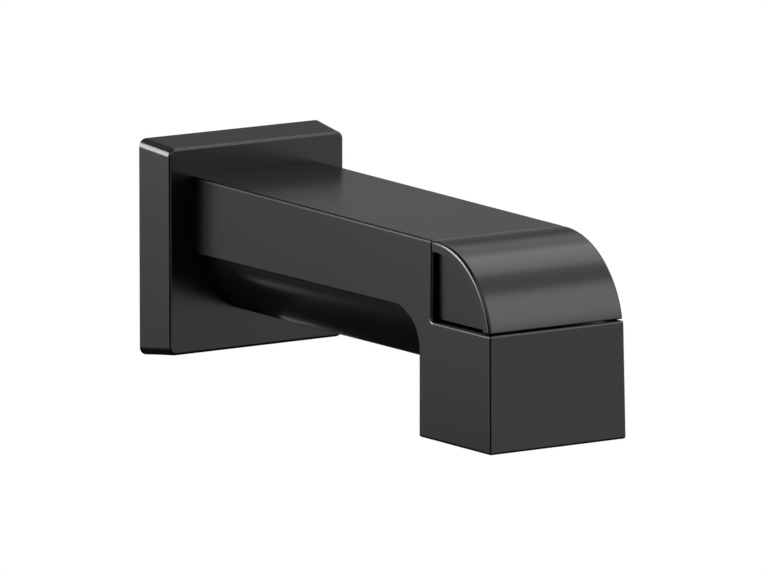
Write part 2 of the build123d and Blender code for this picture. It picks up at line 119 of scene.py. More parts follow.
class SocketKind(Enum):
    """Socket types of a node group's interface."""

    NUMBER = "NodeSocketFloat"
    COLOUR = "NodeSocketColor"
    VECTOR = "NodeSocketVector"
    GEOMETRY = "NodeSocketGeometry"
    OBJECT = "NodeSocketObject"
    MATERIAL = "NodeSocketMaterial"


def add_node(tree: Any, kind: str, inputs: Inputs | None = None, **settings: Any) -> Any:
    """Adds a node to a tree.

    Args:
        tree: The node tree.
        kind: Blender's identifier of the node.
        inputs: Input name or index to a socket to link from, or to a plain value.
        settings: Properties of the node, set before its inputs.

    Returns:
        The new node.
    """
    node = tree.nodes.new(kind)
    for name, value in settings.items():
        setattr(node, name, value)
    for name, value in (inputs or {}).items():
        if isinstance(value, bpy.types.NodeSocket):
            tree.links.new(value, node.inputs[name])
        else:
            node.inputs[name].default_value = value
    return node


@dataclass
class GroupDraft:
    """A node group under construction.

    Attributes:
        name: Name of the group.
        kind: "ShaderNodeTree" or "GeometryNodeTree".
    """

    name: str
    kind: str
    tree: Any = field(init=False)
    start: Any = field(init=False)
    end: Any = field(init=False)

    def __post_init__(self) -> None:
        """Makes the empty tree with its two interface nodes."""
        self.tree = bpy.data.node_groups.new(self.name, self.kind)
        self.start = self.tree.nodes.new("NodeGroupInput")
        self.end = self.tree.nodes.new("NodeGroupOutput")

    def takes(self, name: str, kind: SocketKind, value: Any = None) -> None:
        """Adds a named input.

        Args:
            name: Name of the input.
            kind: Type of the input.
            value: Default value, or None to keep the type's own.
        """
        item = self.tree.interface.new_socket(name, in_out="INPUT", socket_type=kind.value)
        if value is not None:
            item.default_value = value

    def gives(self, name: str, kind: SocketKind, socket: Any) -> None:
        """Adds a named output and links it.

        Args:
            name: Name of the output.
            kind: Type of the output.
            socket: The socket inside the group that feeds it.
        """
        self.tree.interface.new_socket(name, in_out="OUTPUT", socket_type=kind.value)
        self.tree.links.new(socket, self.end.inputs[name])

    def given(self, name: str) -> Any:
        """Returns the group's own side of a named input."""
        return self.start.outputs[name]

    def node(self, kind: str, inputs: Inputs | None = None, **settings: Any) -> Any:
        """Adds a node to the group, as add_node does."""
        return add_node(self.tree, kind, inputs, **settings)

    def maths(self, operation: str, *values: Any) -> Any:
        """Adds a Math node.

        Args:
            operation: Blender's name of the operation.
            values: Its operands, each a socket or a number.

        Returns:
            The node's output socket.
        """
        return self.node("ShaderNodeMath", dict(enumerate(values)), operation=operation).outputs[0]

    def noise(self, place: Any, scale: Any, detail: float) -> Any:
        """Adds a Noise texture and returns its value socket."""
        inputs = {"Vector": place, "Scale": scale, "Detail": detail}
        return self.node("ShaderNodeTexNoise", inputs).outputs["Fac"]

    def swing(self, mask: Any, middle: Any, swing: Any) -> Any:
        """Spreads a mask of 0 to 1 about a middle value.

        Args:
            mask: Socket of 0 to 1.
            middle: Value at a mask of one half.
            swing: Difference of the result between a mask of 0 and of 1.

        Returns:
            The socket of the result.
        """
        return self.maths("MULTIPLY_ADD", self.maths("SUBTRACT", mask, 0.5), swing, middle)

    def blend(self, mask: Any, first: Any, second: Any) -> Any:
        """Mixes two colours by a mask and returns the colour socket."""
        tint = self.node("ShaderNodeMix", data_type="RGBA")
        first_input, second_input = [s for s in tint.inputs if s.type == "RGBA"]
        self.tree.links.new(mask, tint.inputs["Factor"])
        self.tree.links.new(first, first_input)
        self.tree.links.new(second, second_input)
        return next(s for s in tint.outputs if s.type == "RGBA")


def coated_skin() -> Any:
    """Builds the group for a sprayed coating: a fine even grain on a slow drift of tone.

    Returns:
        The shader node group, with outputs Color, Roughness and Height.
    """
    draft = GroupDraft("coated_skin", "ShaderNodeTree")
    draft.takes("Color", SocketKind.COLOUR, (0.01, 0.01, 0.01, 1.0))
    draft.takes("Grain Scale", SocketKind.NUMBER, 3000.0)
    draft.takes("Drift Scale", SocketKind.NUMBER, 25.0)
    draft.takes("Drift", SocketKind.NUMBER, 0.1)
    draft.takes("Roughness", SocketKind.NUMBER, 0.4)
    draft.takes("Roughness Swing", SocketKind.NUMBER, 0.04)
    place = draft.node("ShaderNodeTexCoord").outputs["Object"]
    grain = draft.noise(place, draft.given("Grain Scale"), 3.0)
    drift = draft.noise(place, draft.given("Drift Scale"), 2.0)
    shade = draft.swing(drift, 1.0, draft.given("Drift"))
    inputs = {0: draft.given("Color"), "Scale": shade}
    tint = draft.node("ShaderNodeVectorMath", inputs, operation="SCALE").outputs["Vector"]
    both = draft.maths("MULTIPLY", draft.maths("ADD", grain, drift), 0.5)
    rough = draft.swing(both, draft.given("Roughness"), draft.given("Roughness Swing"))
    draft.gives("Color", SocketKind.COLOUR, tint)
    draft.gives("Roughness", SocketKind.NUMBER, rough)
    draft.gives("Height", SocketKind.NUMBER, grain)
    return draft.tree


def turned_skin() -> Any:
    """Builds the group for turned metal: rings about the Z axis of its Vector input, under a film.

    Returns:
        The shader node group, with outputs Color, Roughness and Height.
    """
    draft = GroupDraft("turned_skin", "ShaderNodeTree")
    draft.takes("Vector", SocketKind.VECTOR)
    draft.takes("Color", SocketKind.COLOUR, (0.7, 0.5, 0.25, 1.0))
    draft.takes("Film Color", SocketKind.COLOUR, (0.5, 0.34, 0.15, 1.0))
    draft.takes("Ring Scale", SocketKind.NUMBER, 5000.0)
    draft.takes("Film Scale", SocketKind.NUMBER, 240.0)
    draft.takes("Roughness", SocketKind.NUMBER, 0.28)
    draft.takes("Roughness Swing", SocketKind.NUMBER, 0.12)
    place = draft.given("Vector")
    split = draft.node("ShaderNodeSeparateXYZ", {0: place}).outputs
    flat = draft.node("ShaderNodeCombineXYZ", {0: split[0], 1: split[1]}).outputs[0]
    reach = draft.node("ShaderNodeVectorMath", {0: flat}, operation="LENGTH").outputs["Value"]
    turn = draft.maths("MULTIPLY", draft.maths("ARCTAN2", split[1], split[0]), RING_DRIFT)
    rings = draft.node("ShaderNodeCombineXYZ", {0: reach, 1: turn, 2: split[2]}).outputs[0]
    marks = draft.noise(rings, draft.given("Ring Scale"), 2.0)
    film = draft.noise(place, draft.given("Film Scale"), 4.0)
    tint = draft.blend(film, draft.given("Film Color"), draft.given("Color"))
    draft.gives("Color", SocketKind.COLOUR, tint)
    rough = draft.swing(marks, draft.given("Roughness"), draft.given("Roughness Swing"))
    draft.gives("Roughness", SocketKind.NUMBER, rough)
    draft.gives("Height", SocketKind.NUMBER, marks)
    return draft.tree


def moulded_skin() -> Any:
    """Builds the group for moulded plastic and rubber: a matt tool texture and faint flow marks.

    Returns:
        The shader node group, with outputs Color, Roughness and Height.
    """
    draft = GroupDraft("moulded_skin", "ShaderNodeTree")
    draft.takes("Color", SocketKind.COLOUR, (0.3, 0.3, 0.3, 1.0))
    draft.takes("Flow Color", SocketKind.COLOUR, (0.26, 0.26, 0.27, 1.0))
    draft.takes("Texture Scale", SocketKind.NUMBER, 2600.0)
    draft.takes("Flow Scale", SocketKind.NUMBER, 60.0)
    draft.takes("Roughness", SocketKind.NUMBER, 0.5)
    draft.takes("Roughness Swing", SocketKind.NUMBER, 0.1)
    place = draft.node("ShaderNodeTexCoord").outputs["Object"]
    texture = draft.noise(place, draft.given("Texture Scale"), 4.0)
    flow = draft.noise(place, draft.given("Flow Scale"), 3.0)
    tint = draft.blend(flow, draft.given("Flow Color"), draft.given("Color"))
    draft.gives("Color", SocketKind.COLOUR, tint)
    rough = draft.swing(flow, draft.given("Roughness"), draft.given("Roughness Swing"))
    draft.gives("Roughness", SocketKind.NUMBER, rough)
    draft.gives("Height", SocketKind.NUMBER, texture)
    return draft.tree


def foam_skin() -> Any:
    """Builds the group for closed-cell foam: small cells whose hollows are darkened with painted shade.

    Returns:
        The shader node group, with outputs Color, Roughness and Height.
    """
    draft = GroupDraft("foam_skin", "ShaderNodeTree")
    draft.takes("Color", SocketKind.COLOUR, (0.05, 0.05, 0.05, 1.0))
    draft.takes("Hollow Shade Color", SocketKind.COLOUR, (0.015, 0.015, 0.015, 1.0))
    draft.takes("Cell Scale", SocketKind.NUMBER, 1500.0)
    draft.takes("Roughness", SocketKind.NUMBER, 0.85)
    place = draft.node("ShaderNodeTexCoord").outputs["Object"]
    inputs = {"Vector": place, "Scale": draft.given("Cell Scale")}
    cells = draft.node("ShaderNodeTexVoronoi", inputs).outputs["Distance"]
    wall = draft.node("ShaderNodeClamp", {"Value": cells}).outputs[0]
    # painted shade: the colour darkens towards each cell's middle, where the foam's pits are
    tint = draft.blend(wall, draft.given("Hollow Shade Color"), draft.given("Color"))
    draft.gives("Color", SocketKind.COLOUR, tint)
    rough = draft.swing(wall, draft.given("Roughness"), FOAM_SWING)
    draft.gives("Roughness", SocketKind.NUMBER, rough)
    draft.gives("Height", SocketKind.NUMBER, wall)
    return draft.tree


@dataclass
class SkinShop:
    """The shader node groups that the finishes share, each built once when it is first asked for."""

    made: dict[str, Any] = field(default_factory=dict)

    def get(self, maker: Callable[[], Any]) -> Any:
        """Returns the group that a maker function builds, building it the first time."""
        if maker.__name__ not in self.made:
            self.made[maker.__name__] = maker()
        return self.made[maker.__name__]


@dataclass(frozen=True)
class Finish:
    """What every finish has: a shader with its plain values, fed by one skin group.

    Attributes:
        name: Name of the material.
        slot: The record's material slot.
        metallic: 1 for bare metal, otherwise 0.
        bump: Depth of the surface texture, in metres.
    """

    name: str
    slot: Slot
    metallic: float = 0.0
    bump: float = 4e-6

    def skin(self, shop: SkinShop) -> Any:
        """Returns the skin group. Each kind of finish gives its own."""
        raise NotImplementedError

    def values(self) -> dict[str, Any]:
        """Returns the values of the skin's named inputs. Each kind of finish gives its own."""
        raise NotImplementedError

    def place(self, tree: Any) -> Any | None:
        """Returns the socket for the skin's Vector input, or None where it has none."""
        return None

    def material(self, shop: SkinShop) -> bpy.types.Material:
        """Builds the material.

        Args:
            shop: The shared skin groups.

        Returns:
            The new material.
        """
        made = bpy.data.materials.new(self.name)
        made.use_nodes = True
        tree = made.node_tree
        shader = next(n for n in tree.nodes if n.type == "BSDF_PRINCIPLED")
        shader.inputs["Metallic"].default_value = self.metallic
        skin = add_node(tree, "ShaderNodeGroup", node_tree=self.skin(shop))
        for name, value in self.values().items():
            skin.inputs[name].default_value = value
        place = self.place(tree)
        if place is not None:
            tree.links.new(place, skin.inputs["Vector"])
        bump = add_node(tree, "ShaderNodeBump", {"Strength": 1.0, "Distance": self.bump})
        tree.links.new(skin.outputs["Height"], bump.inputs["Height"])
        tree.links.new(skin.outputs["Color"], shader.inputs["Base Color"])
        tree.links.new(skin.outputs["Roughness"], shader.inputs["Roughness"])
        tree.links.new(bump.outputs["Normal"], shader.inputs["Normal"])
        return made


@dataclass(frozen=True)
class Coating(Finish):
    """A sprayed satin coating on metal.

    Attributes:
        colour: Colour of the coating.
        roughness: Middle roughness.
        swing: How far the roughness changes over the surface.
        grain: Scale of the fine grain.
    """

    colour: Colour = (0.002, 0.002, 0.0021, 1.0)
    roughness: float = 0.23
    swing: float = 0.03
    grain: float = 2800.0

    def skin(self, shop: SkinShop) -> Any:
        """Returns the coated skin."""
        return shop.get(coated_skin)

    def values(self) -> dict[str, Any]:
        """Returns the coated skin's inputs."""
        return {
            "Color": self.colour,
            "Grain Scale": self.grain,
            "Roughness": self.roughness,
            "Roughness Swing": self.swing,
        }


@dataclass(frozen=True)
class TurnedMetal(Finish):
    """Bare metal off the lathe, with rings about its own axis.

    Attributes:
        colour: Colour of the clean metal.
        film: Colour under the thin film of age.
        roughness: Middle roughness.
        turning: Which way its axis lies.
        centre: A point on that axis, in millimetres.
    """

    metallic: float = 1.0
    bump: float = 3e-6
    colour: Colour = (0.72, 0.52, 0.25, 1.0)
    film: Colour = (0.58, 0.4, 0.19, 1.0)
    roughness: float = 0.3
    turning: Turning = Turning.PIPE
    centre: Point = (0.0, 0.0, 0.0)

    def skin(self, shop: SkinShop) -> Any:
        """Returns the turned skin."""
        return shop.get(turned_skin)

    def values(self) -> dict[str, Any]:
        """Returns the turned skin's inputs."""
        return {"Color": self.colour, "Film Color": self.film, "Roughness": self.roughness}

    def place(self, tree: Any) -> Any:
        """Returns coordinates whose Z axis is the piece's own axis."""
        here = add_node(tree, "ShaderNodeTexCoord").outputs["Object"]
        shift = {"Vector": here, "Location": tuple(-c * MM for c in self.centre)}
        moved = add_node(tree, "ShaderNodeMapping", shift).outputs[0]
        turn = {"Vector": moved, "Rotation": self.turning.value}
        return add_node(tree, "ShaderNodeMapping", turn).outputs[0]


@dataclass(frozen=True)
class Moulding(Finish):
    """Moulded plastic or rubber with the tool's fine texture.

    Attributes:
        colour: Main colour.
        flow: Colour of the faint flow marks.
        roughness: Middle roughness.
    """

    colour: Colour = (0.3, 0.3, 0.31, 1.0)
    flow: Colour = (0.27, 0.27, 0.28, 1.0)
    roughness: float = 0.5

    def skin(self, shop: SkinShop) -> Any:
        """Returns the moulded skin."""
        return shop.get(moulded_skin)

    def values(self) -> dict[str, Any]:
        """Returns the moulded skin's inputs."""
        return {"Color": self.colour, "Flow Color": self.flow, "Roughness": self.roughness}


@dataclass(frozen=True)
class Foam(Finish):
    """Closed-cell foam."""

    bump: float = 1.2e-4
    roughness: float = 0.85

    def skin(self, shop: SkinShop) -> Any:
        """Returns the foam skin."""
        return shop.get(foam_skin)

    def values(self) -> dict[str, Any]:
        """Returns the foam skin's inputs."""
        return {"Roughness": self.roughness}


@dataclass
class Finishes:
    """Every finish of the spout, as materials."""

    shop: SkinShop = field(default_factory=SkinShop)
    made: dict[str, bpy.types.Material] = field(default_factory=dict)
    slots: dict[str, Slot] = field(default_factory=dict)

    def __post_init__(self) -> None:
        """Builds the materials."""
        for finish in self.catalogue():
            self.made[finish.name] = finish.material(self.shop)
            self.slots[finish.name] = finish.slot

    @staticmethod
    def catalogue() -> list[Finish]:
        """Returns the finishes of the spout."""
        steel = {"colour": (0.6, 0.6, 0.59, 1.0), "film": (0.48, 0.48, 0.48, 1.0)}
        return [
            Coating("satin_black_coating", Slot.BLACK),
            TurnedMetal("adapter_brass", Slot.BRASS, turning=Turning.PIPE),
            TurnedMetal("guide_brass", Slot.BRASS, turning=Turning.ROD, centre=ROD_CENTRE),
            TurnedMetal("rod_steel", Slot.STEEL, turning=Turning.ROD, centre=ROD_CENTRE, **steel),
            TurnedMetal("screw_steel", Slot.STEEL, turning=Turning.PIPE, **steel),
            Moulding("seal_rubber", Slot.RUBBER, colour=(0.022, 0.022, 0.022, 1.0),
                     flow=(0.03, 0.03, 0.03, 1.0), roughness=0.6),
            Moulding("white_acetal", Slot.WHITE, colour=(0.78, 0.77, 0.73, 1.0),
                     flow=(0.72, 0.71, 0.67, 1.0), roughness=0.42),
            Moulding("grey_acetal", Slot.GREY, colour=(0.3, 0.31, 0.32, 1.0),
                     flow=(0.26, 0.27, 0.28, 1.0), roughness=0.45),
            Moulding("black_acetal", Slot.DARK, colour=(0.016, 0.016, 0.017, 1.0),
                     flow=(0.022, 0.022, 0.022, 1.0), roughness=0.55, bump=1.2e-5),
            Foam("gasket_foam", Slot.FOAM),
        ]

    def dress(self, obj: bpy.types.Object, finish: str) -> bpy.types.Object:
        """Gives an object one finish.

        Args:
            obj: The object, whose materials are replaced.
            finish: Name of the finish.

        Returns:
            The same object.
        """
        obj.data.materials.clear()
        obj.data.materials.append(self.made[finish])
        return obj


def new_object(name: str, mesh: bpy.types.Mesh) -> bpy.types.Object:
    """Links a new object with a mesh at the origin."""
    made = bpy.data.objects.new(name, mesh)
    bpy.context.scene.collection.objects.link(made)
    return made


@dataclass(frozen=True)
class ScrewShape:
    """A cross-recessed screw, made about the Z axis with its head's top at z = 0 and its shank down -Z.

    Attributes:
        head: Style of the head.
        head_radius: Radius of the head, in millimetres, as the other sizes.
        head_height: Height of the head.
        shank_radius: Outer radius of the thread.
        length: Length from the head's top to the tip.
        pitch: Pitch of the thread.
        recess_width: Width of the cross's arms.
        recess_depth: Depth of the cross at its middle.
        recess_reach: Reach of the cross's arms, as a share of the head's radius.
        recess_taper: Size of the cross at the tool's foot, as a share of its size at the top.
        segments: Sides of each ring of faces.
        rings_per_turn: Rings of faces in one turn of the thread.
        thread_depth: Depth of the thread.
        land: Height of a countersunk head's straight edge.
        shoulder: Share of a pan head's radius that its flat top takes.
        crown_steps: Steps in a pan head's rounded edge.
    """

    head: HeadStyle
    head_radius: float
    head_height: float
    shank_radius: float
    length: float
    pitch: float
    recess_width: float
    recess_depth: float
    recess_reach: float = 0.58
    recess_taper: float = 0.45
    segments: int = 32
    rings_per_turn: int = 6
    thread_depth: float = 0.3
    land: float = 0.12
    shoulder: float = 0.62
    crown_steps: int = 7

    def head_profile(self) -> list[tuple[float, float]]:
        """Returns the head's outline as (radius, z), from the middle of its top outwards and down."""
        if self.head is HeadStyle.COUNTERSUNK:
            return [(0.0, 0.0), (self.head_radius, 0.0), (self.head_radius, -self.land)]
        crown = [
            (
                self.head_radius * (self.shoulder + (1 - self.shoulder) * math.sin(turn)),
                -self.head_height * self.shoulder * (1 - math.cos(turn)),
            )
            for turn in (t * math.pi / 2 / self.crown_steps for t in range(self.crown_steps + 1))
        ]
        foot = [(self.head_radius, -self.head_height), (self.shank_radius, -self.head_height)]
        return [(0.0, 0.0), *crown, *foot]

    def shank_radius_at(self, depth: float, turn: float) -> float:
        """Returns the thread's radius at a depth below the head and a turn of 0 to 1."""
        phase = (depth / self.pitch + turn) % 1.0
        ridge = 1 - abs(2 * phase - 1)
        point = max(0.0, 1 - (self.length - self.head_height - depth) / self.pitch)
        return self.shank_radius - self.thread_depth * (1 - ridge) - self.thread_depth * point

    def body(self) -> bpy.types.Mesh:
        """Returns the closed screw without its recess."""
        made = bmesh.new()
        rings: list[list[Any]] = []
        for radius, z in self.head_profile()[1:]:
            rings.append(self.ring(made, lambda turn, r=radius: r, z))
        threaded = self.length - self.head_height
        count = max(2, round(threaded / self.pitch * self.rings_per_turn))
        for i in range(1, count + 1):
            depth = threaded * i / count
            z = -self.head_height - depth
            rings.append(self.ring(made, lambda turn, d=depth: self.shank_radius_at(d, turn), z))
        for upper, lower in zip(rings, rings[1:]):
            for i in range(self.segments):
                j = (i + 1) % self.segments
                made.faces.new((upper[i], lower[i], lower[j], upper[j]))
        made.faces.new(rings[0])
        made.faces.new(list(reversed(rings[-1])))
        bmesh.ops.recalc_face_normals(made, faces=made.faces)
        mesh = bpy.data.meshes.new("screw_blank")
        made.to_mesh(mesh)
        made.free()
        return mesh

    def ring(self, made: Any, radius: Callable[[float], float], z: float) -> list[Any]:
        """Adds one ring of vertices and returns it."""
        return [
            made.verts.new(
                (
                    radius(i / self.segments) * math.cos(math.tau * i / self.segments) * MM,
                    radius(i / self.segments) * math.sin(math.tau * i / self.segments) * MM,
                    z * MM,
                )
            )
            for i in range(self.segments)
        ]

    def recess(self) -> bpy.types.Mesh:
        """Returns the cross-shaped tool that cuts the recess, tapering down into the head."""
        made = bmesh.new()
        arm, width, taper = self.head_radius * self.recess_reach, self.recess_width / 2, self.recess_taper
        outline = [
            (width, width), (width, arm), (-width, arm), (-width, width), (-arm, width), (-arm, -width),
            (-width, -width), (-width, -arm), (width, -arm), (width, -width), (arm, -width), (arm, width),
        ]
        top = [made.verts.new((x * MM, y * MM, self.recess_depth * MM)) for x, y in outline]
        foot = [made.verts.new((x * taper * MM, y * taper * MM, -self.recess_depth * MM)) for x, y in outline]
        for i in range(len(outline)):
            j = (i + 1) % len(outline)
            made.faces.new((top[i], foot[i], foot[j], top[j]))
        made.faces.new(list(reversed(top)))
        made.faces.new(foot)
        bmesh.ops.recalc_face_normals(made, faces=made.faces)
        mesh = bpy.data.meshes.new("screw_recess")
        made.to_mesh(mesh)
        made.free()
        return mesh

    def mesh(self, name: str) -> bpy.types.Object:
        """Builds the screw with its recess cut, as a source object for instances.

        Args:
            name: Name of the object.

        Returns:
            The object, which is removed once its instances are real.
        """
        screw, cutter = new_object(name, self.body()), new_object(name + "_recess", self.recess())
        cut = screw.modifiers.new("recess", "BOOLEAN")
        cut.operation, cut.object, cut.solver = "DIFFERENCE", cutter, "EXACT"
        depsgraph = bpy.context.evaluated_depsgraph_get()
        screw.data = bpy.data.meshes.new_from_object(screw.evaluated_get(depsgraph))
        screw.modifiers.clear()
        bpy.data.objects.remove(cutter)
        screw.data.shade_smooth()
        screw.data.set_sharp_from_angle(angle=SHARP_ANGLE)
        return screw


def screw_set_tree() -> Any:
    """Builds the Geometry Nodes tree that puts one screw on each point of a mesh.

    Returns:
        The tree, with inputs Geometry, Screw, Aim, Turn Spread and Finish.
    """
    draft = GroupDraft("screw_set", "GeometryNodeTree")
    draft.takes("Geometry", SocketKind.GEOMETRY)
    draft.takes("Screw", SocketKind.OBJECT)
    draft.takes("Aim", SocketKind.VECTOR, (0.0, 0.0, 0.0))
    draft.takes("Turn Spread", SocketKind.NUMBER, TURN_SPREAD)
    draft.takes("Finish", SocketKind.MATERIAL)
    spin = draft.node("FunctionNodeRandomValue", {"Seed": TURN_SEED}, data_type="FLOAT")
    low, high = [s for s in spin.inputs if s.type == "VALUE" and s.name in ("Min", "Max")]
    low.default_value = 0.0
    draft.tree.links.new(draft.given("Turn Spread"), high)
    amount = next(s for s in spin.outputs if s.type == "VALUE")
    turn = draft.node("ShaderNodeCombineXYZ", {2: amount}).outputs[0]
    screw = draft.node("GeometryNodeObjectInfo", {"Object": draft.given("Screw")}).outputs["Geometry"]
    placed = draft.node(
        "GeometryNodeInstanceOnPoints",
        {"Points": draft.given("Geometry"), "Instance": screw, "Rotation": draft.given("Aim")},
    ).outputs[0]
    turned = draft.node("GeometryNodeRotateInstances", {"Instances": placed, "Rotation": turn}).outputs[0]
    real = draft.node("GeometryNodeRealizeInstances", {"Geometry": turned}).outputs[0]
    dressed = draft.node("GeometryNodeSetMaterial", {"Geometry": real, "Material": draft.given("Finish")})
    draft.gives("Geometry", SocketKind.GEOMETRY, dressed.outputs[0])
    return draft.tree


def set_tree_inputs(modifier: Any, values: dict[str, Any]) -> None:
    """Sets a Geometry Nodes modifier's inputs by their names.

    Args:
        modifier: The modifier.
        values: Input name to value.
    """
    for item in modifier.node_group.interface.items_tree:
        if item.item_type == "SOCKET" and item.in_out == "INPUT" and item.name in values:
            modifier[item.identifier] = values[item.name]


def grow(name: str, start: bpy.types.Mesh, tree: Any, values: dict[str, Any]) -> bpy.types.Object:
    """Runs a Geometry Nodes tree on a mesh and keeps the result as a plain mesh.

    Args:
        name: Name of the new object.
        start: The mesh that the tree begins from.
        tree: The tree.
        values: The tree's inputs by name.

    Returns:
        The new object, with no modifier.
    """
    grown = new_object(name, start)
    modifier = grown.modifiers.new("grow", "NODES")
    modifier.node_group = tree
    set_tree_inputs(modifier, values)
    depsgraph = bpy.context.evaluated_depsgraph_get()
    mesh = bpy.data.meshes.new_from_object(grown.evaluated_get(depsgraph))
    grown.modifiers.clear()
    grown.data = mesh
    mesh.name = name
    return grown


@dataclass
class ScrewSet:
    """A group of like screws that stands for one node of the frame.

    Attributes:
        name: Name of the piece.
        node: The node that it replaces.
        shape: The screw.
        points: Middle of each head's top, in millimetres.
        aim: Rotation that turns +Z to the way the heads face.
        finish: Name of the finish.
    """

    name: str
    node: str
    shape: ScrewShape
    points: Sequence[Point]
    aim: Point
    finish: str = "screw_steel"

    def build(self, finishes: Finishes) -> bpy.types.Object:
        """Builds the screws, and makes them ride on the spout in the node's place."""
        source = self.shape.mesh(self.name + "_source")
        start = bpy.data.meshes.new(self.name + "_points")
        start.from_pydata([Vector(p) * MM for p in self.points], [], [])
        metal = finishes.made[self.finish]
        values = {"Screw": source, "Aim": self.aim, "Turn Spread": TURN_SPREAD, "Finish": metal}
        piece = grow(self.name, start, screw_set_tree(), values)
        bpy.data.objects.remove(source)
        finishes.dress(piece, self.finish)
        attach(piece, Body.SPOUT.value)
        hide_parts(self.node)
        LOG.info("%s stands for %s with %d screws", self.name, self.node, len(self.points))
        return piece


@dataclass
class SubAssembly:
    """Some of the frame's nodes, each with its finish.

    Attributes:
        finishes: The spout's finishes.
        nodes: The frame's objects by node name.
    """

    finishes: Finishes
    nodes: dict[str, bpy.types.Object]

    def plan(self) -> dict[str, str]:
        """Returns node name to finish. Each sub-assembly gives its own."""
        raise NotImplementedError

    def build(self) -> None:
        """Dresses the nodes, then adds the sub-assembly's own pieces."""
        for node, finish in self.plan().items():
            self.finishes.dress(self.nodes[node], finish)
            LOG.info("%s: %s", node, finish)
        for screws in self.screw_sets():
            screws.build(self.finishes)

    def screw_sets(self) -> Iterable[ScrewSet]:
        """Returns the sub-assembly's screws, if it has any."""
        return ()


@dataclass
class WallMount(SubAssembly):
    """The square wall plate, its gasket and the screws through its web.

    Attributes:
        web_reach: Reach from the wall to the tops of the screws' heads, in millimetres.
        screw_points: The screws' places as (x, z), in millimetres.
        screw: The screw.
    """

    web_reach: float = 8.9
    screw_points: tuple[tuple[float, float], ...] = (
        (-18.6, 17.4), (18.6, 17.4), (-11.75, -11.75), (11.75, -11.75),
    )
    screw: ScrewShape = ScrewShape(
        head=HeadStyle.PAN, head_radius=3.6, head_height=2.4, shank_radius=1.9, length=18.1,
        pitch=0.8, recess_width=0.9, recess_depth=1.2,
    )

    def plan(self) -> dict[str, str]:
        """Returns the finishes of the mount's nodes."""
        return {
            "wall_plate": "satin_black_coating",
            "wall_gasket": "gasket_foam",
            "plate_screws": "screw_steel",
        }

    def screw_sets(self) -> Iterable[ScrewSet]:
        """Returns the four pan-head screws, whose heads face the wall."""
        points = [(x, -self.web_reach, z) for x, z in self.screw_points]
        aim = (-math.pi / 2, 0.0, 0.0)
        return [ScrewSet("plate_screw_group", "plate_screws", self.screw, points, aim)]


@dataclass
class Casting(SubAssembly):
    """The die-cast body."""

    def plan(self) -> dict[str, str]:
        """Returns the finish of the casting."""
        return {"spout_body": "satin_black_coating"}


@dataclass
class Inlet(SubAssembly):
    """The adapter that slips over the supply tube, with its seals and set screw."""

    def plan(self) -> dict[str, str]:
        """Returns the finishes of the inlet's nodes."""
        return {
            "inlet_adapter": "adapter_brass",
            "pipe_o_ring_rear": "seal_rubber",
            "pipe_o_ring_front": "seal_rubber",
            "adapter_o_ring": "seal_rubber",
            "pipe_set_screw": "screw_steel",
        }


@dataclass
class Waterway(SubAssembly):
    """The tube inside the casting, and the valve's housing."""

    def plan(self) -> dict[str, str]:
        """Returns the finishes of the waterway's nodes."""
        return {
            "waterway_tube": "white_acetal",
            "seat_gasket": "seal_rubber",
            "valve_housing": "grey_acetal",
        }


@dataclass
class Outlet(SubAssembly):
    """The frame in the mouth of the block, its grid and its screws.

    Attributes:
        face_height: Height of the screws' heads, in millimetres.
        screw_side: How far the screws stand to each side, in millimetres.
        screw_reaches: Their two reaches from the wall, in millimetres.
        screw: The screw.
    """

    face_height: float = -36.2
    screw_side: float = 18.6
    screw_reaches: tuple[float, float] = (142.2, 169.4)
    screw: ScrewShape = ScrewShape(
        head=HeadStyle.COUNTERSUNK, head_radius=2.4, head_height=1.15, shank_radius=1.25, length=8.0,
        pitch=0.5, recess_width=0.7, recess_depth=0.7, thread_depth=0.2,
    )

    def plan(self) -> dict[str, str]:
        """Returns the finishes of the outlet's nodes."""
        return {
            "outlet_frame": "black_acetal",
            "flow_straightener": "grey_acetal",
            "outlet_screws": "screw_steel",
        }

    def screw_sets(self) -> Iterable[ScrewSet]:
        """Returns the four countersunk screws, whose heads face down."""
        points = [
            (side * self.screw_side, -reach, self.face_height)
            for side in (-1, 1)
            for reach in self.screw_reaches
        ]
        aim = (math.pi, 0.0, 0.0)
        return [ScrewSet("outlet_screw_group", "outlet_screws", self.screw, points, aim)]


@dataclass
class Diverter(SubAssembly):
    """The knob, its rod and gate, and the guide that they run in."""

    def plan(self) -> dict[str, str]:
        """Returns the finishes of the diverter's nodes."""
        return {
            "diverter_knob": "satin_black_coating",
            "lift_rod": "rod_steel",
            "lock_nut": "guide_brass",
            "diverter_gate": "grey_acetal",
            "gate_seal": "seal_rubber",
            "upper_clip": "rod_steel",
            "lower_clip": "rod_steel",
            "rod_guide": "guide_brass",
            "rod_o_ring": "seal_rubber",
            "guide_nut": "guide_brass",
            "stop_washer": "seal_rubber",
        }


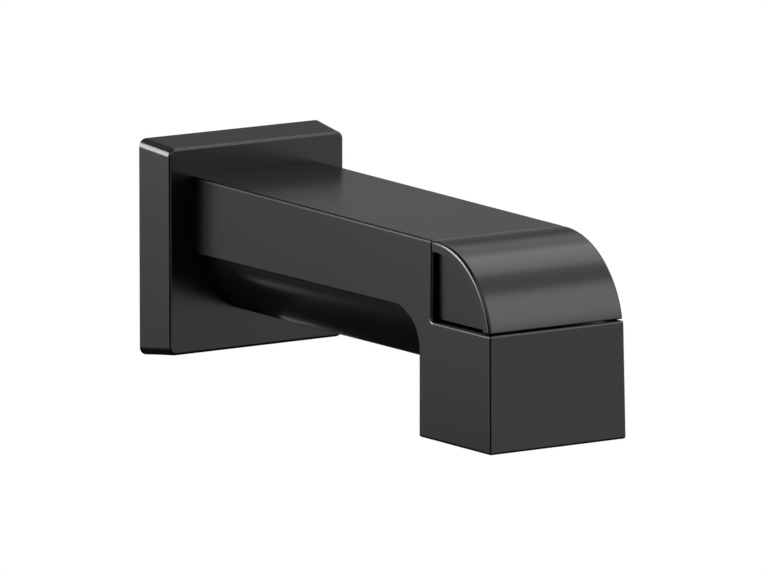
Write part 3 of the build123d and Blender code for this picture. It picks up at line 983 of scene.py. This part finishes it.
@dataclass(frozen=True)
class Camera:
    """The camera, as fitted to the photograph's edges. Lengths are in metres and angles in degrees.

    Attributes:
        azimuth: Turn about +Z, 0 looking along +Y.
        elevation: Height above the horizon.
        distance: From the wall face's centre, along the view.
        shift_right: From that centre to the view's middle, to the right.
        shift_up: The same, upwards.
        focal_px: Focal length in pixels of the picture.
        picture_width: Width of the picture in pixels.
        sensor_width: Width of the sensor in millimetres.
        near: Distance from which the camera sees.
        far: Distance to which it sees.
    """

    azimuth: float = -34.198
    elevation: float = 9.847
    distance: float = 3.7396
    shift_right: float = 0.046717
    shift_up: float = -0.015631
    focal_px: float = 12247.9
    picture_width: int = 768
    sensor_width: float = 36.0
    near: float = 0.1
    far: float = 50.0

    def build(self) -> bpy.types.Object:
        """Makes the camera and gives it to the scene."""
        turn, lift = math.radians(self.azimuth), math.radians(self.elevation)
        back = Vector((math.sin(turn) * math.cos(lift), -math.cos(turn) * math.cos(lift), math.sin(lift)))
        right = Vector((math.cos(turn), math.sin(turn), 0.0))
        up = back.cross(right)
        data = bpy.data.cameras.new("camera")
        data.sensor_width = self.sensor_width
        data.sensor_fit = "HORIZONTAL"
        data.lens = self.focal_px * self.sensor_width / self.picture_width
        data.clip_start, data.clip_end = self.near, self.far
        made = bpy.data.objects.new("camera", data)
        bpy.context.scene.collection.objects.link(made)
        place = Matrix((right, up, back)).transposed().to_4x4()
        place.translation = right * self.shift_right + up * self.shift_up + back * self.distance
        made.matrix_world = place
        bpy.context.scene.camera = made
        return made


@dataclass(frozen=True)
class SoftBox:
    """A rectangular area lamp that faces the spout.

    Attributes:
        name: Name of the lamp.
        azimuth: Compass turn of its place about +Z, in degrees, 0 at -Y and 90 at +X.
        elevation: Its height above the horizon, in degrees.
        width: Its width, in metres.
        height: Its height, in metres.
        radiance: Brightness of its face.
        distance: From the spout, in metres.
    """

    name: str
    azimuth: float
    elevation: float
    width: float
    height: float
    radiance: float
    distance: float = 1.2

    def build(self, target: Vector) -> bpy.types.Object:
        """Makes the lamp, aimed at the target."""
        data = bpy.data.lights.new(self.name, "AREA")
        data.shape, data.size, data.size_y = "RECTANGLE", self.width, self.height
        data.energy = self.radiance * math.pi * self.width * self.height
        made = bpy.data.objects.new(self.name, data)
        bpy.context.scene.collection.objects.link(made)
        way = direction(self.azimuth, self.elevation)
        made.location = target + way * self.distance
        made.rotation_mode = "QUATERNION"
        made.rotation_quaternion = way.to_track_quat("Z", "Y")
        return made


def direction(azimuth: float, elevation: float) -> Vector:
    """Returns the unit vector at a compass turn and a height, in degrees, 0 at -Y and 90 at +X."""
    turn, lift = math.radians(azimuth), math.radians(elevation)
    return Vector((math.sin(turn) * math.cos(lift), -math.cos(turn) * math.cos(lift), math.sin(lift)))


@dataclass(frozen=True)
class Card:
    """A plain matt card that only the spout's reflections see, as a studio uses to shade a surface.

    Attributes:
        name: Name of the card.
        azimuth: Compass turn of its place, in degrees.
        elevation: Its height above the horizon, in degrees.
        width: Its width, in metres.
        height: Its height, in metres.
        tone: Its brightness.
        distance: From the spout, in metres.
    """

    name: str
    azimuth: float
    elevation: float
    width: float
    height: float
    tone: float
    distance: float

    def build(self, target: Vector) -> bpy.types.Object:
        """Makes the card, facing the target and unseen by the camera."""
        way = direction(self.azimuth, self.elevation)
        turn = way.to_track_quat("Z", "Y").to_matrix().to_4x4()
        turn.translation = target + way * self.distance
        mesh = bpy.data.meshes.new(self.name)
        half = Vector((self.width / 2, self.height / 2))
        corners = [(-half.x, -half.y, 0), (-half.x, half.y, 0), (half.x, half.y, 0), (half.x, -half.y, 0)]
        mesh.from_pydata([turn @ Vector(c) for c in corners], [], [(0, 1, 2, 3)])
        made = new_object(self.name, mesh)
        paint = bpy.data.materials.new(self.name)
        paint.use_nodes = True
        tree = paint.node_tree
        tree.nodes.clear()
        glow = add_node(tree, "ShaderNodeEmission", {"Color": (self.tone, self.tone, self.tone, 1.0)})
        end = add_node(tree, "ShaderNodeOutputMaterial")
        tree.links.new(glow.outputs[0], end.inputs["Surface"])
        mesh.materials.append(paint)
        made.visible_camera = False
        made.visible_diffuse = False
        made.visible_shadow = False
        made.visible_transmission = False
        made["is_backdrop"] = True
        return made


@dataclass
class Studio:
    """The floor, the lamps, the cards and the white surroundings.

    Attributes:
        floor_height: Height of the floor, in metres.
        floor_radius: Radius of the floor, in metres.
        floor_sides: Sides of the round floor's outline.
        floor_tone: Colour of the floor.
        floor_glow: Light that the floor adds for the rays that show it, to make it white.
        surround: Strength of the surroundings as a light. They show as 1.
        second: Share of the surroundings that is left in the reflection of a reflection.
        lamps: The lamps.
        cards: The cards.
    """

    floor_height: float = -0.22
    floor_radius: float = 0.45
    floor_sides: int = 96
    floor_tone: float = 0.8
    floor_glow: float = 0.35
    surround: float = 0.62
    second: float = 0.25
    lamps: tuple[SoftBox, ...] = (
        SoftBox("overhead_lamp", 97.0, 57.0, 0.56, 0.56, 1.45),
        SoftBox("front_lamp", 40.0, 26.5, 0.62, 0.66, 1.9),
        SoftBox("left_lamp", -127.0, 15.0, 0.46, 0.8, 12.5),
        SoftBox("rear_lamp", 180.0, 8.0, 0.4, 0.4, 10.0),
    )
    cards: tuple[Card, ...] = (
        Card("under_card", 0.0, -90.0, 0.71, 0.71, 0.01, 0.17),
        Card("high_back_card", 161.0, 27.0, 1.6, 0.35, 0.22, 0.9),
        Card("back_card", 161.0, 6.5, 1.6, 0.31, 0.3, 0.9),
        Card("low_back_card", 161.0, -22.0, 1.6, 0.62, 0.01, 0.92),
        Card("far_back_card", 172.0, 14.0, 0.54, 1.1, 0.01, 0.85),
        Card("camera_card", -56.0, -6.0, 1.2, 0.8, 0.02, 0.85),
        Card("top_card", 160.0, 82.0, 0.5, 0.4, 0.05, 1.0),
        Card("high_left_card", -120.0, 68.0, 1.1, 1.1, 0.03, 1.0),
        Card("left_card", -150.0, -10.0, 1.1, 0.32, 0.43, 1.0),
        Card("low_left_card", -150.0, -30.0, 1.1, 0.56, 0.05, 0.95),
    )

    def build(self, target: Vector) -> None:
        """Builds the studio round a target point."""
        for part in (*self.lamps, *self.cards):
            part.build(target)
        self.floor()
        self.world()
        bpy.context.scene.view_settings.view_transform = "Standard"

    @staticmethod
    def seen(tree: Any) -> Any:
        """Adds the nodes that pick out the rays that show the background, from those that only light.

        Args:
            tree: The node tree.

        Returns:
            A socket of 1 for camera, glossy and transmission rays, and of 0 for the others.
        """
        path = add_node(tree, "ShaderNodeLightPath").outputs
        pair = {0: path["Is Camera Ray"], 1: path["Is Glossy Ray"]}
        first = add_node(tree, "ShaderNodeMath", pair, operation="MAXIMUM").outputs[0]
        pair = {0: first, 1: path["Is Transmission Ray"]}
        return add_node(tree, "ShaderNodeMath", pair, operation="MAXIMUM").outputs[0]

    def world(self) -> None:
        """Makes white surroundings that light the spout softly."""
        made = bpy.data.worlds.new("surroundings")
        bpy.context.scene.world = made
        made.use_nodes = True
        tree = made.node_tree
        tree.nodes.clear()
        shown = {"Value": self.seen(tree), "To Min": self.surround}
        level = add_node(tree, "ShaderNodeMapRange", shown).outputs[0]
        depth = add_node(tree, "ShaderNodeLightPath").outputs["Glossy Depth"]
        fall = {"Value": depth, "From Min": 1.0, "From Max": 2.0, "To Min": 1.0, "To Max": self.second}
        again = add_node(tree, "ShaderNodeMapRange", fall).outputs[0]
        strength = add_node(tree, "ShaderNodeMath", {0: level, 1: again}, operation="MULTIPLY").outputs[0]
        sky = add_node(tree, "ShaderNodeBackground", {"Color": WHITE, "Strength": strength})
        end = add_node(tree, "ShaderNodeOutputWorld")
        tree.links.new(sky.outputs[0], end.inputs["Surface"])

    def floor(self) -> None:
        """Makes the round floor, which shows the spout's shadow and can be seen through from below."""
        made = bmesh.new()
        bmesh.ops.create_circle(made, cap_ends=True, segments=self.floor_sides, radius=self.floor_radius)
        bmesh.ops.translate(made, verts=made.verts, vec=(0.0, 0.0, self.floor_height))
        mesh = bpy.data.meshes.new("floor")
        made.to_mesh(mesh)
        made.free()
        floor = new_object("floor", mesh)
        paint = bpy.data.materials.new("floor_paint")
        paint.use_nodes = True
        tree = paint.node_tree
        tree.nodes.clear()
        tone = (self.floor_tone, self.floor_tone, self.floor_tone, 1.0)
        matt = add_node(tree, "ShaderNodeBsdfDiffuse", {"Color": tone}).outputs[0]
        shown = {0: self.seen(tree), 1: self.floor_glow}
        level = add_node(tree, "ShaderNodeMath", shown, operation="MULTIPLY").outputs[0]
        glow = add_node(tree, "ShaderNodeEmission", {"Color": WHITE, "Strength": level}).outputs[0]
        white = add_node(tree, "ShaderNodeAddShader", {0: matt, 1: glow}).outputs[0]
        clear = add_node(tree, "ShaderNodeBsdfTransparent").outputs[0]
        under = add_node(tree, "ShaderNodeNewGeometry").outputs["Backfacing"]
        both = add_node(tree, "ShaderNodeMixShader", {0: under, 1: white, 2: clear}).outputs[0]
        end = add_node(tree, "ShaderNodeOutputMaterial")
        tree.links.new(both, end.inputs["Surface"])
        mesh.materials.append(paint)
        floor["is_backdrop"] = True


def main() -> None:
    """Loads the frame, dresses it and builds the studio."""
    logging.basicConfig(level=logging.INFO, format="%(message)s")
    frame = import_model()
    cad_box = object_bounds()
    Camera().build()
    finishes = Finishes()
    for kind in (WallMount, Casting, Inlet, Waterway, Outlet, Diverter):
        kind(finishes, frame["nodes"]).build()
    Studio().build((cad_box[0] + cad_box[1]) / 2)


if __name__ == "__main__":
    main()
